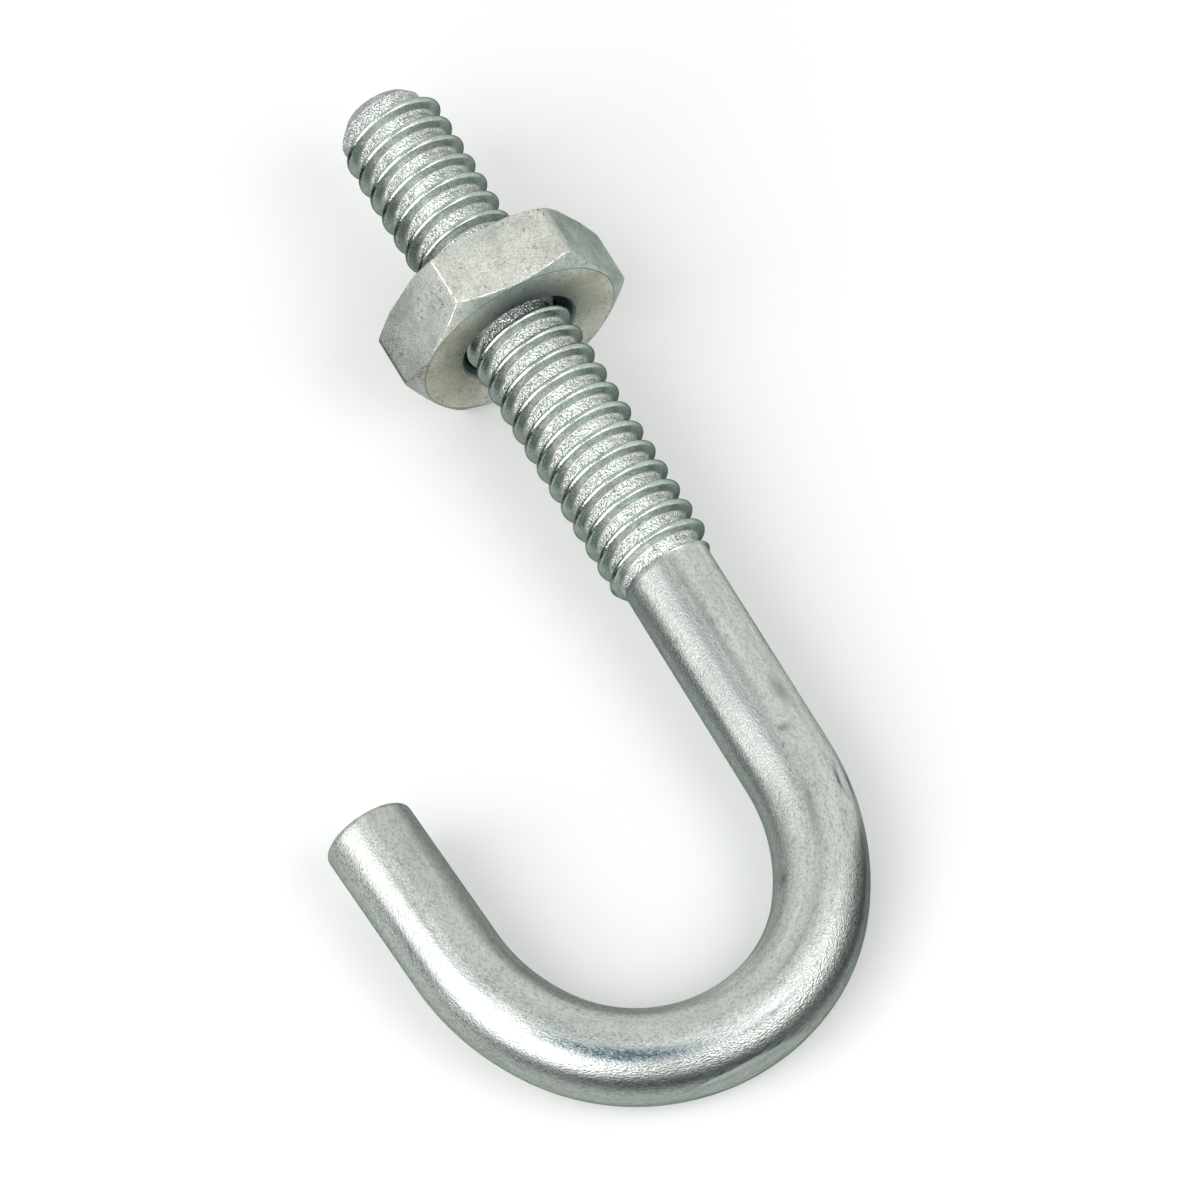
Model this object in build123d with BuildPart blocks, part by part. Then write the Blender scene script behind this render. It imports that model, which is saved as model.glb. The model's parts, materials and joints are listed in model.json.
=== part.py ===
from build123d import *
import os
from math import asin, atan2, cos, hypot, radians, sin, sqrt, tan

# A J bolt lying on its side: one bent wire with a rolled coarse thread, and its hexagon nut.
# The wire is bent in one plane. On that plane, x runs up the shank towards the threaded end
# and y runs across from the shank to the open tip. The bend starts at (0, 0).

# Wire and hook, in mm and degrees
wire_d = 4.0
heel_radius = 10.6
heel_angle = 36.0
nose_radius = 7.55
nose_angle = 110.0
toe_radius = 9.8
toe_angle = 30.2
tip_length = 6.95
tip_edge = 0.3

# Rolled thread: nominal 4.8 mm, 24 to the inch, right hand
thread_d = 4.78
thread_pitch = 25.4 / 24
flank_angle = 30.0
thread_from = 10.2
thread_to = 35.75
run_out = 0.7
end_face_d = 3.0
end_chamfer = 1.05
top_crest_from_end = 1.37

# Hexagon nut
nut_across_flats = 9.25
nut_thickness = 3.08
nut_from = 23.08
nut_bore_d = thread_d + 0.10
nut_countersink = 0.22
nut_lower_face_d = 9.1
nut_upper_face_d = 9.5
nut_chamfer_angle = 28.0

wire_r = wire_d / 2
thread_r = thread_d / 2
thread_depth = 0.6134 * thread_pitch
root_r = thread_r - thread_depth
half_flat = nut_across_flats / 2
half_corner = nut_across_flats / sqrt(3)

# The bolt lies on the nose of its hook and on one flat of the nut, so its shank slopes up a little
nose_reach = nose_radius + (heel_radius - nose_radius) * sin(radians(heel_angle))
support = nose_reach + nut_from
slope = atan2(half_flat, support) - asin(wire_r / hypot(half_flat, support))

# Far ends of the bolt along the floor, so that the origin is on the floor under its middle
turn_after_nose = radians(heel_angle + nose_angle)
turn_in_all = radians(heel_angle + nose_angle + toe_angle)
tip_across = (
    heel_radius * (1 - cos(radians(heel_angle)))
    + nose_radius * (cos(radians(heel_angle)) - cos(turn_after_nose))
    + toe_radius * (cos(turn_after_nose) - cos(turn_in_all))
    + tip_length * sin(turn_in_all)
)
low_x = -nose_reach * cos(slope) - wire_r
high_x = thread_to * cos(slope) + end_face_d / 2 * sin(slope)
low_y = -half_corner
high_y = tip_across + wire_r

up_shank = Vector(cos(slope), 0, sin(slope))
hook_plane = Plane(
    origin=(-(low_x + high_x) / 2, -(low_y + high_y) / 2, wire_r + nose_reach * sin(slope)),
    x_dir=up_shank,
    z_dir=(-sin(slope), 0, cos(slope)),
)
shank_plane = Plane(origin=hook_plane.origin, x_dir=hook_plane.y_dir, z_dir=up_shank)
shank_axis = Axis(hook_plane.origin, up_shank)

# The bolt
with BuildPart() as j_bolt:
    # Thread core, from inside the wire to past the end
    with BuildSketch(hook_plane):
        with BuildLine():
            Polyline(
                (thread_from - 1, 0),
                (thread_from - 1, wire_r),
                (thread_from, wire_r),
                (thread_from + (wire_r - root_r), root_r),
                (thread_to + 1, root_r),
                (thread_to + 1, 0),
                close=True,
            )
        make_face()
    revolve(axis=shank_axis)

    # One thread ridge, swept up the shank
    top_crest = thread_to - top_crest_from_end
    turns = int((top_crest - thread_from) / thread_pitch) + 1
    ridge_start = top_crest - turns * thread_pitch
    with BuildLine() as thread_path:
        for turn in range(turns + 2):
            Helix(
                pitch=thread_pitch,
                height=thread_pitch,
                radius=root_r,
                center=shank_plane.offset(ridge_start + turn * thread_pitch).origin,
                direction=up_shank,
            )
    path_start = thread_path.line @ 0
    outward = path_start - shank_plane.offset(ridge_start).origin
    ridge_plane = Plane(origin=path_start, x_dir=outward, z_dir=thread_path.line % 0)
    ridge_sink = 0.06
    half_crest = thread_pitch / 16
    half_base = half_crest + (thread_depth + ridge_sink) * tan(radians(flank_angle))
    with BuildSketch(ridge_plane):
        with BuildLine():
            Polyline(
                (-ridge_sink, -half_base),
                (thread_depth, -half_crest),
                (thread_depth, half_crest),
                (-ridge_sink, half_base),
                close=True,
            )
        make_face()
    sweep(path=thread_path.line, is_frenet=True)

    # The ridge grows out of the shank at one end and dies in a chamfer at the other
    clear_r = thread_r + 0.1
    end_taper = end_chamfer / (thread_r - end_face_d / 2) * (clear_r - end_face_d / 2)
    run_out_taper = run_out / (thread_r - wire_r) * (clear_r - wire_r)
    with BuildSketch(hook_plane):
        with BuildLine():
            Polyline(
                (thread_from - 1, 0),
                (thread_from - 1, wire_r),
                (thread_from, wire_r),
                (thread_from + run_out_taper, clear_r),
                (thread_to - end_taper, clear_r),
                (thread_to, end_face_d / 2),
                (thread_to, 0),
                close=True,
            )
        make_face()
    revolve(axis=shank_axis, mode=Mode.INTERSECT)

    # Plain wire: shank, three-radius bend and straight tip
    with BuildLine(hook_plane) as wire_path:
        shank = Line((thread_from, 0), (0, 0))
        heel = JernArc(shank @ 1, shank % 1, heel_radius, -heel_angle)
        nose = JernArc(heel @ 1, heel % 1, nose_radius, -nose_angle)
        toe = JernArc(nose @ 1, nose % 1, toe_radius, -toe_angle)
        tip = Line(toe @ 1, toe @ 1 + (toe % 1) * tip_length)
    with BuildSketch(Plane(origin=shank @ 0, x_dir=hook_plane.z_dir, z_dir=shank % 0)):
        Circle(wire_r)
    sweep(path=wire_path.line)
    tip_rim = j_bolt.edges().filter_by(GeomType.CIRCLE).sort_by_distance(tip @ 1)[0]
    chamfer(tip_rim, length=tip_edge)

# The nut
with BuildPart() as hex_nut:
    with BuildSketch(shank_plane.offset(nut_from)):
        RegularPolygon(radius=half_flat, side_count=6, major_radius=False)
    extrude(amount=nut_thickness)
    # Both faces are chamfered to a circle, which leaves a curved edge on each flat
    chamfer_slope = tan(radians(nut_chamfer_angle))
    past_corner = half_corner + 0.2
    nut_to = nut_from + nut_thickness
    with BuildSketch(hook_plane):
        with BuildLine():
            Polyline(
                (nut_from, 0),
                (nut_from, nut_lower_face_d / 2),
                (nut_from + (past_corner - nut_lower_face_d / 2) * chamfer_slope, past_corner),
                (nut_to - (past_corner - nut_upper_face_d / 2) * chamfer_slope, past_corner),
                (nut_to, nut_upper_face_d / 2),
                (nut_to, 0),
                close=True,
            )
        make_face()
    revolve(axis=shank_axis, mode=Mode.INTERSECT)
    with Locations(shank_plane.offset(nut_from)):
        Hole(radius=nut_bore_d / 2)
    bore_rims = hex_nut.edges().filter_by(GeomType.CIRCLE).sort_by(SortBy.RADIUS)[:2]
    chamfer(bore_rims, length=nut_countersink)

j_bolt.part.label = "j_bolt"
hex_nut.part.label = "hex_nut"

os.makedirs("parts", exist_ok=True)
for piece in (j_bolt.part, hex_nut.part):
    export_step(piece, f"parts/{piece.label}.step")
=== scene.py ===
"""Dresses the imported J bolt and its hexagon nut: rolled thread, bent wire, satin zinc and a studio.

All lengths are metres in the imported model's own frame. The wire is bent in one plane: UP_SHANK runs
along the shank to the threaded end, ACROSS from the shank to the open tip, ABOVE out of the plane.
"""
import json
import math

import bmesh
import bpy
import numpy as np
from bpy.props import FloatProperty, FloatVectorProperty, IntProperty, PointerProperty
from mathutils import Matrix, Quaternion, Vector


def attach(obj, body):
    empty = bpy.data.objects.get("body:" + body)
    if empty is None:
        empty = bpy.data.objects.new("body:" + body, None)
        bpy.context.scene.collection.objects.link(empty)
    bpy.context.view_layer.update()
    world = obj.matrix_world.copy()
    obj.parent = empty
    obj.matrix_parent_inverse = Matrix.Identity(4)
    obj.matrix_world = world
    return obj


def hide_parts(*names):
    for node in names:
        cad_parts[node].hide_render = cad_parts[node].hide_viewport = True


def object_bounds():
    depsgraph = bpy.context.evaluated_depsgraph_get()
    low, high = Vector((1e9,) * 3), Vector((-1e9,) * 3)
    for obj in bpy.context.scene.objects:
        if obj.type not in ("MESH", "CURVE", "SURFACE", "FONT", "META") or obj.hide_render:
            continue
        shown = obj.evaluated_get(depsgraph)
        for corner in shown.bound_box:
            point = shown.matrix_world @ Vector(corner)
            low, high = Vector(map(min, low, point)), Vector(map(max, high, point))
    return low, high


bl_info = {
    "name": "J bolt dresser",
    "version": (1, 0, 0),
    "blender": (4, 5, 0),
    "location": "View3D > Sidebar > J bolt",
    "description": "Builds a zinc-plated J bolt, its nut and a studio round the packed solids",
    "category": "Object",
}

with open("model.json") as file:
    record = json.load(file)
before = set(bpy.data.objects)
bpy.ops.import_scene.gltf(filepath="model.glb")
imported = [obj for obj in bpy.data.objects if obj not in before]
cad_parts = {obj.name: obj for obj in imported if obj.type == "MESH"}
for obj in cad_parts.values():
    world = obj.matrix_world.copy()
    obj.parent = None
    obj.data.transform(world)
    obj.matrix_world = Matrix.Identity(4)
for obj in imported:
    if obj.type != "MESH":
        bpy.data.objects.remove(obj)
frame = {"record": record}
CAD_LOW, CAD_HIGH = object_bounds()
MOUNTS = {mount["name"]: mount for mount in frame["record"]["mounts"]}
UP_SHANK = np.array(MOUNTS["threaded_end"]["axis"])
ACROSS = np.array((0.0, 1.0, 0.0))
ABOVE = np.cross(UP_SHANK, ACROSS)
THREADED_END = np.array(MOUNTS["threaded_end"]["pos_m"])
NUT_FACE = np.array(MOUNTS["nut_bearing_face"]["pos_m"])
NUT_GAP = float((THREADED_END - NUT_FACE) @ UP_SHANK)
MM = 0.001


# ---------------------------------------------------------------- settings

def length(name, description, millimetres):
    """A length setting, stored in metres."""
    return FloatProperty(
        name=name, description=description, default=millimetres * MM, min=0.0,
        unit="LENGTH", subtype="DISTANCE", precision=5,
    )


def angle(name, description, degrees):
    """An angle setting, stored in radians."""
    return FloatProperty(
        name=name, description=description, default=math.radians(degrees), subtype="ANGLE",
    )


def number(name, description, value, top=10.0):
    """A plain number."""
    return FloatProperty(name=name, description=description, default=value, min=0.0, max=top)


def colour(name, description, value):
    """A linear colour."""
    return FloatVectorProperty(
        name=name, description=description, default=value, size=3, min=0.0, max=1.0,
        subtype="COLOR",
    )


class WireSizes(bpy.types.PropertyGroup):
    """Sizes of the bent wire"""
    diameter: length("Wire", "Diameter of the drawn wire", 3.99)
    heel_radius: length("Heel radius", "Centreline radius where the shank starts to bend", 10.6)
    heel_angle: angle("Heel angle", "Turn of the heel", 36.0)
    nose_radius: length("Nose radius", "Centreline radius of the main bend", 7.55)
    nose_angle: angle("Nose angle", "Turn of the main bend", 110.0)
    toe_radius: length("Toe radius", "Centreline radius before the tip", 9.8)
    toe_angle: angle("Toe angle", "Turn of the toe", 30.2)
    tip_length: length("Tip", "Straight length at the open end", 6.95)
    tip_rounding: length("Tip edge", "Rounding of the sheared edge", 0.28)
    ring_step: length("Ring spacing", "Distance between rings of the mesh", 0.28)


class ThreadSizes(bpy.types.PropertyGroup):
    """Sizes of the rolled thread, measured up the shank from the start of the bend"""
    diameter: length("Major diameter", "Over the crests", 4.78)
    pitch: length("Pitch", "24 threads to the inch", 25.4 / 24)
    crest_radius: length("Crest radius", "Rounding of each crest", 0.14)
    flank: angle("Flank", "Slope of the flanks from square", 13.0)
    depth: length("Depth", "Height of the ridge over the valley", 0.58)
    fillet: length("Fillet", "Rounding where the ridge meets the valley", 0.12)
    start: length("Thread start", "Where the plain shank ends", 10.2)
    end: length("Thread end", "Where the end face is", 35.75)
    run_out: length("Run-out", "Length over which the ridge grows to its full height", 0.7)
    shoulder: length("Shoulder", "Length of the bevel between shank and root", 0.26)
    end_face: length("End face", "Diameter of the end face", 3.0)
    end_taper: length("End taper", "Length of the tapered end", 1.05)
    first_crest: length("First crest", "From the end face to the first crest on top", 1.37)
    end_rim: length("End rim", "Rounding between the tapered end and its face", 0.05)
    inset: length("Inset", "How far the face stays behind the packed one", 0.005)
    wobble: length("Wobble", "Unevenness of the rolled surface", 0.006)
    burr: length("Burr", "Height of the burr where the thread begins", 0.09)


class NutSizes(bpy.types.PropertyGroup):
    """Sizes of the hexagon nut"""
    across_flats: length("Across flats", "Width over two flats", 9.24)
    thickness: length("Thickness", "Height of the nut", 3.08)
    lower_face: length("Hook-side face", "Diameter of the chamfer circle on the hook side", 9.1)
    upper_face: length("End-side face", "Diameter of the chamfer circle on the end side", 9.5)
    chamfer: angle("Chamfer", "Slope of both chamfers", 28.0)
    edge_radius: length("Edges", "Rounding of the chamfered edges", 0.09)
    corner_radii: FloatVectorProperty(
        name="Corners", description="Rounding of the six corners, from the tip's side on",
        size=6, unit="LENGTH", precision=5,
        default=[radius * MM for radius in (0.45, 0.14, 0.62, 0.40, 0.30, 0.30)],
    )
    countersink: length("Countersink", "Depth of the cone at both ends of the hole", 0.34)
    thread_gap: length("Thread gap", "Clearance between the two threads", 0.05)
    hole: length("Hole", "Diameter between the inner crests", 3.75)


class ZincFinish(bpy.types.PropertyGroup):
    """The look of the zinc plating"""
    wire_colour: colour("Wire zinc", "Reflected colour of the drawn wire", (0.75, 0.78, 0.745))
    valley_colour: colour("Valley zinc", "Reflected colour of the crystals in the thread", (0.95, 0.96, 0.96))
    ridge_colour: colour("Ridge zinc", "Reflected colour of the rubbed thread ridges", (0.70, 0.78, 0.71))
    # Painted shade: the dark colour of the ridges' and wire's shaded sides, of one nut chamfer and of the nut's
    # bore
    film_colour: colour("Dark film", "Reflected colour of the film left on the ridges' sides", (0.40, 0.47, 0.43))
    olive_colour: colour("Olive zinc", "Reflected colour of the nut's faces", (0.64, 0.645, 0.53))
    # Painted light and shade: warm also stands for the nut's lit sides and cool for its shaded ones, along with
    # the film's tint
    warm_colour: colour("Warm zinc", "Reflected colour of the nut where its film is thin", (0.82, 0.82, 0.765))
    cool_colour: colour("Cool zinc", "Reflected colour of the nut where its film is blue", (0.62, 0.67, 0.64))
    edge_colour: colour("Edge", "Reflected colour where the surface turns away", (0.12, 0.16, 0.16))
    stain_colour: colour("Stain", "Dull film and dirt on the plating", (0.33, 0.32, 0.28))
    # Mostly painted shade: dark reflection bands, a dull patch and crease streaks on the wire
    tarnish_colour: colour("Tarnish", "Dark patches and lines on the wire", (0.10, 0.14, 0.17))
    # Partly polish from wear, partly painted highlight on the nut's rounded edges and corners
    worn_colour: colour("Worn edge", "Reflected colour of the nut's polished edges", (0.95, 0.96, 0.97))
    valley_roughness: number("Valley roughness", "Blur of the crystals in the thread", 0.26, 1.0)
    wire_roughness: number("Wire roughness", "Blur of the drawn wire", 0.44, 1.0)
    ridge_roughness: number("Ridge roughness", "Blur of the rubbed thread ridges", 0.24, 1.0)
    nut_roughness: number("Nut roughness", "Blur of the nut's reflections", 0.48, 1.0)
    grain: length("Grain", "Width of the crystals in the bolt's plating", 0.07)
    bolt_relief: length("Bolt relief", "Height of the crystals where nothing has rubbed them", 0.062)
    nut_grain: length("Nut grain", "Width of the crystals in the nut's plating", 0.06)
    nut_relief: length("Nut relief", "Height of the crystals on the nut", 0.02)


class StudioSettings(bpy.types.PropertyGroup):
    """Camera and lights"""
    azimuth: angle("Azimuth", "Camera direction: 0 looks along +Y", -114.614)
    elevation: angle("Elevation", "Camera height over the floor", 58.12)
    roll: angle("Roll", "Turn of the camera about its view", -4.729)
    distance: length("Distance", "Camera to the aim point", 333.785)
    aim: FloatVectorProperty(
        name="Aim", description="Point in the middle of the view", size=3, subtype="XYZ",
        unit="LENGTH", default=(-0.0021672, -0.0033520, 0.0043779),
    )
    lens: FloatProperty(
        name="Lens", description="Focal length in millimetres on a 36 mm sensor", default=242.33,
    )
    panel_light: number("Panel light", "Radiance of the two soft panels", 2.9)
    room: colour("Room", "Colour of the room round the set", (0.76, 0.77, 0.74))
    ceiling: colour("Ceiling", "Colour of the dim ceiling over the camera", (0.24, 0.30, 0.30))
    screen: colour("Screen", "Colour of the low dark screen", (0.03, 0.04, 0.04))
    floor: colour("Floor", "Colour of the table", (0.75, 0.75, 0.745))
    floor_glow: number("Floor glow", "Added whiteness of the table as background", 0.1, 1.0)


# ---------------------------------------------------------------- shader helpers

def new_group(name, inputs, outputs):
    """A shader node group with float, colour or vector sockets, and its two end nodes."""
    tree = bpy.data.node_groups.new(name, "ShaderNodeTree")
    for socket, kind, value in inputs:
        made = tree.interface.new_socket(socket, in_out="INPUT", socket_type="NodeSocket" + kind)
        if value is not None:
            made.default_value = value
    for socket, kind in outputs:
        tree.interface.new_socket(socket, in_out="OUTPUT", socket_type="NodeSocket" + kind)
    return tree, tree.nodes.new("NodeGroupInput").outputs, tree.nodes.new("NodeGroupOutput").inputs


def math_node(tree, operation, *values, clamp=False):
    """A Math node; each value is a number or a socket to link."""
    node = tree.nodes.new("ShaderNodeMath")
    node.operation = operation
    node.use_clamp = clamp
    for socket, value in zip(node.inputs, values):
        connect(tree, value, socket)
    return node.outputs[0]


def connect(tree, value, socket):
    """Links a socket, or sets a plain value."""
    if isinstance(value, bpy.types.NodeSocket):
        tree.links.new(value, socket)
    else:
        socket.default_value = value


def scaled(tree, vector, amounts):
    """A vector multiplied part by part."""
    node = tree.nodes.new("ShaderNodeVectorMath")
    node.operation = "MULTIPLY"
    connect(tree, vector, node.inputs[0])
    connect(tree, amounts, node.inputs[1])
    return node.outputs[0]


def noise(tree, vector, scale, detail=2.0, rough=0.5):
    """Noise value, about 0.5 on average."""
    node = tree.nodes.new("ShaderNodeTexNoise")
    node.inputs["Detail"].default_value = detail
    node.inputs["Roughness"].default_value = rough
    connect(tree, vector, node.inputs["Vector"])
    connect(tree, scale, node.inputs["Scale"])
    return node.outputs["Fac"]


def ramp(tree, value, low, high, to_low=0.0, to_high=1.0):
    """Maps low..high to to_low..to_high, smoothly and clamped."""
    node = tree.nodes.new("ShaderNodeMapRange")
    node.interpolation_type = "SMOOTHSTEP"
    for socket, amount in zip(node.inputs, (value, low, high, to_low, to_high)):
        connect(tree, amount, socket)
    return node.outputs[0]


def mixed(tree, factor, first, second, blend="MIX"):
    """A colour mix."""
    node = tree.nodes.new("ShaderNodeMix")
    node.data_type = "RGBA"
    node.blend_type = blend
    connect(tree, factor, node.inputs[0])
    connect(tree, first, node.inputs[6])
    connect(tree, second, node.inputs[7])
    return node.outputs[2]


def rgba(value):
    """A colour with full alpha."""
    return (value[0], value[1], value[2], 1.0)


def plating_grain():
    """Fine crystals of the zinc: a height for bump, a gloss that varies, and a brightness for each crystal."""
    tree, given, out = new_group(
        "plating_grain",
        [("Vector", "Vector", None), ("Grain", "Float", 0.07 * MM)],
        [("Height", "Float"), ("Gloss", "Float"), ("Sparkle", "Float")],
    )
    scale = math_node(tree, "DIVIDE", 1.0, given["Grain"])
    fine = noise(tree, given["Vector"], scale, detail=1.5, rough=0.6)
    cells = tree.nodes.new("ShaderNodeTexVoronoi")
    connect(tree, given["Vector"], cells.inputs["Vector"])
    connect(tree, scale, cells.inputs["Scale"])
    each = tree.nodes.new("ShaderNodeSeparateColor")
    tree.links.new(cells.outputs["Color"], each.inputs[0])
    height = math_node(tree, "MULTIPLY_ADD", fine, 0.7, cells.outputs["Distance"])
    sparkle = math_node(tree, "MULTIPLY_ADD", fine, 0.8, math_node(tree, "MULTIPLY", each.outputs["Red"], 0.6))
    tree.links.new(height, out["Height"])
    tree.links.new(fine, out["Gloss"])
    tree.links.new(sparkle, out["Sparkle"])
    return tree


def handling_marks():
    """Stains and dull film: wide soft clouds and small dark specks."""
    tree, given, out = new_group(
        "handling_marks",
        [("Vector", "Vector", None), ("Clouds", "Float", 0.5), ("Specks", "Float", 0.5)],
        [("Mask", "Float")],
    )
    wide = noise(tree, given["Vector"], 650.0, detail=6.0, rough=0.7)
    clouds = math_node(tree, "MULTIPLY", ramp(tree, wide, 0.42, 0.7), given["Clouds"])
    small = noise(tree, given["Vector"], 5200.0, detail=2.0, rough=0.6)
    where = noise(tree, given["Vector"], 800.0, detail=1.0)
    spots = math_node(tree, "MULTIPLY", ramp(tree, small, 0.58, 0.7), ramp(tree, where, 0.4, 0.6))
    specks = math_node(tree, "MULTIPLY", spots, given["Specks"])
    tree.links.new(math_node(tree, "ADD", clouds, specks, clamp=True), out["Mask"])
    return tree


def bare_zinc(name, settings, groups):
    """The shader every zinc finish starts from, with its grain and marks placed."""
    material = bpy.data.materials.new(name)
    material.use_nodes = True
    tree = material.node_tree
    tree.nodes.clear()
    shader = tree.nodes.new("ShaderNodeBsdfPrincipled")
    shader.inputs["Metallic"].default_value = 1.0
    shader.inputs["Specular Tint"].default_value = rgba(settings.edge_colour)
    output = tree.nodes.new("ShaderNodeOutputMaterial")
    tree.links.new(shader.outputs[0], output.inputs["Surface"])
    grain = tree.nodes.new("ShaderNodeGroup")
    grain.node_tree = groups["grain"]
    marks = tree.nodes.new("ShaderNodeGroup")
    marks.node_tree = groups["marks"]
    return material, tree, shader, grain, marks


def attribute(tree, name):
    """A value or vector that the mesh carries."""
    node = tree.nodes.new("ShaderNodeAttribute")
    node.attribute_name = name
    return node.outputs


def add_bump(tree, shader, height, distance):
    """Bump from a height between 0 and 1."""
    bump = tree.nodes.new("ShaderNodeBump")
    bump.inputs["Strength"].default_value = 1.0
    bump.inputs["Distance"].default_value = distance
    tree.links.new(height, bump.inputs["Height"])
    tree.links.new(bump.outputs[0], shader.inputs["Normal"])


def bolt_zinc(settings, groups):
    """Crystals in the valleys and on the end, rubbed smooth ridges, faint drawing lines on the wire."""
    material, tree, shader, grain, marks = bare_zinc("bolt_satin_zinc", settings, groups)
    unbent = attribute(tree, "unbent")["Vector"]
    rubbed = attribute(tree, "rubbed")["Fac"]
    tree.links.new(scaled(tree, unbent, (1.0, 1.0, 0.6)), grain.inputs["Vector"])
    grain.inputs["Grain"].default_value = settings.grain
    tree.links.new(scaled(tree, unbent, (1.0, 1.0, 0.5)), marks.inputs["Vector"])
    marks.inputs["Clouds"].default_value = 0.2
    marks.inputs["Specks"].default_value = 0.42

    shades = tree.nodes.new("ShaderNodeValToRGB")
    shades.color_ramp.elements[0].color = rgba(settings.valley_colour)
    shades.color_ramp.elements[1].color = rgba(settings.ridge_colour)
    shades.color_ramp.elements.new(0.5).color = rgba(settings.wire_colour)
    tree.links.new(rubbed, shades.inputs["Fac"])
    dullest = ramp(tree, rubbed, 0.5, 1.0, 0.77, 0.92)
    sparkle = ramp(tree, grain.outputs["Sparkle"], 0.4, 0.8, dullest, 1.0)
    # Painted shade: the sides of the ridges and wire away from the lit top are darkened
    tone = mixed(tree, attribute(tree, "shade_and_tint")["Fac"], shades.outputs["Color"], rgba(settings.film_colour))
    tone = mixed(tree, 1.0, tone, sparkle, "MULTIPLY")
    tone = mixed(tree, marks.outputs["Mask"], tone, rgba(settings.stain_colour))
    lines = noise(tree, scaled(tree, unbent, (1.0, 1.0, 0.05)), 1900.0, 4.0, 0.6)
    tone = mixed(tree, 1.0, tone, ramp(tree, lines, 0.3, 0.7, 0.84, 1.07), "MULTIPLY")
    # Painted shade: dark patches and lines on the wire, speckled, and dark lines round the tool flats
    dark = attribute(tree, "dark_marks_and_shade")["Fac"]
    spread = math_node(tree, "MULTIPLY_ADD", grain.outputs["Sparkle"], 1.3, -0.75)
    speckled_dark = math_node(tree, "MULTIPLY_ADD", dark, spread, dark, clamp=True)
    tone = mixed(tree, speckled_dark, tone, rgba(settings.tarnish_colour))
    tree.links.new(tone, shader.inputs["Base Color"])

    on_wire = ramp(tree, rubbed, 0.0, 0.5, settings.valley_roughness, settings.wire_roughness)
    to_ridge = ramp(tree, rubbed, 0.5, 1.0, 0.0, settings.ridge_roughness - settings.wire_roughness)
    speckled = ramp(tree, grain.outputs["Gloss"], 0.3, 0.7, -0.07, 0.07)
    gloss = math_node(tree, "ADD", math_node(tree, "ADD", on_wire, to_ridge), speckled)
    tree.links.new(gloss, shader.inputs["Roughness"])
    relief = math_node(tree, "MULTIPLY", grain.outputs["Height"], ramp(tree, rubbed, 0.0, 0.5, 1.0, 0.12))
    add_bump(tree, shader, relief, settings.bolt_relief)
    return material


def nut_zinc(settings, groups):
    """A smoother plating with a film that is warm on some sides and blue on others, and each side painted lighter
    or darker as the light falls on it.
    """
    material, tree, shader, grain, marks = bare_zinc("nut_satin_zinc", settings, groups)
    place = tree.nodes.new("ShaderNodeTexCoord").outputs["Object"]
    shade_and_tint = attribute(tree, "shade_and_tint")["Fac"]
    polish_and_highlight = attribute(tree, "polish_and_highlight")["Fac"]
    painted_shade = attribute(tree, "painted_shade")["Fac"]
    tree.links.new(place, grain.inputs["Vector"])
    grain.inputs["Grain"].default_value = settings.nut_grain
    tree.links.new(place, marks.inputs["Vector"])
    marks.inputs["Clouds"].default_value = 0.42
    marks.inputs["Specks"].default_value = 1.0

    drift = ramp(tree, noise(tree, place, 500.0, 4.0), 0.35, 0.65, -0.11, 0.11)
    # Painted light and shade: each side of the nut is tinted and set lighter or darker by its place round the nut
    tint_and_shade_level = math_node(tree, "ADD", shade_and_tint, drift, clamp=True)
    shades = tree.nodes.new("ShaderNodeValToRGB")
    shades.color_ramp.elements[0].color = rgba(settings.olive_colour)
    shades.color_ramp.elements[1].color = rgba(settings.film_colour)
    shades.color_ramp.elements.new(0.4).color = rgba(settings.warm_colour)
    shades.color_ramp.elements.new(0.75).color = rgba(settings.cool_colour)
    tree.links.new(tint_and_shade_level, shades.inputs["Fac"])
    tone = shades.outputs["Color"]
    sparkle = ramp(tree, grain.outputs["Sparkle"], 0.45, 0.8, 0.78, 1.08)
    tone = mixed(tree, 1.0, tone, sparkle, "MULTIPLY")
    tone = mixed(tree, marks.outputs["Mask"], tone, rgba(settings.stain_colour))
    spread = math_node(tree, "MULTIPLY_ADD", grain.outputs["Sparkle"], 1.3, -0.75)
    # Painted shade: the face near the hole, the rounded edges between faces and chamfers, and the countersinks
    # are darkened to the edge colour
    shade = math_node(tree, "MULTIPLY_ADD", painted_shade, spread, painted_shade, clamp=True)
    tone = mixed(tree, shade, tone, rgba(settings.edge_colour))
    # Bright dots on the chamfer edges and rounded corners: polish from wear, and painted highlights where the
    # edges catch the light
    dots = ramp(tree, noise(tree, place, 3500.0, 2.0), 0.42, 0.58)
    patches = ramp(tree, noise(tree, place, 700.0, 1.0), 0.42, 0.55)
    polish_and_highlight_mask = math_node(tree, "MULTIPLY", polish_and_highlight, math_node(tree, "MULTIPLY", dots, patches))
    tone = mixed(tree, polish_and_highlight_mask, tone, rgba(settings.worn_colour))
    tree.links.new(tone, shader.inputs["Base Color"])

    rough = settings.nut_roughness
    gloss = ramp(tree, grain.outputs["Gloss"], 0.3, 0.7, rough - 0.05, rough + 0.05)
    gloss = math_node(tree, "SUBTRACT", gloss, math_node(tree, "MULTIPLY", polish_and_highlight_mask, 0.12))
    tree.links.new(gloss, shader.inputs["Roughness"])
    add_bump(tree, shader, grain.outputs["Height"], settings.nut_relief)
    return material


def shared_groups():
    """The node groups that both finishes use, made once."""
    makers = {"grain": plating_grain, "marks": handling_marks}
    return {key: bpy.data.node_groups.get(maker.__name__) or maker() for key, maker in makers.items()}


# ---------------------------------------------------------------- mesh helpers

COLUMNS = 96


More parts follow.
